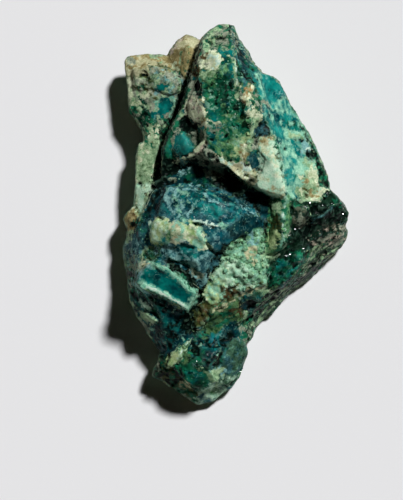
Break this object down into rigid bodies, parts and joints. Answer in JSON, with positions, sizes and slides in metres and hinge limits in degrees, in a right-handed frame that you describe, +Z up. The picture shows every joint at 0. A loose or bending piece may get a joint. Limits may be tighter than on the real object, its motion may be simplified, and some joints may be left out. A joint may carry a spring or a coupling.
{
  "type": "dioptase specimen",
  "caption": "Rough hand specimen of green dioptase grown with blue-green, mint and cream minerals, lying on a flat fracture.",
  "frame": {"origin": "middle of the stone's outline in plan, on the flat fracture that it rests on", "axes": "+Z up from the resting face, the stone's shortest way; +Y along its length, from the rounded lobe to the wedge's tip; +X towards the dark glassy mass"},
  "size_m": [0.0342, 0.0576, 0.0175],
  "materials": {
    "stone": "natural broken mineral: glassy emerald and navy facets, waxy teal, chalky mint and cream, frosted slate blue, black-green glass"
  },
  "bodies": {
    "root": {"dioptase_stone": "stone"}
  },
  "joints": []
}
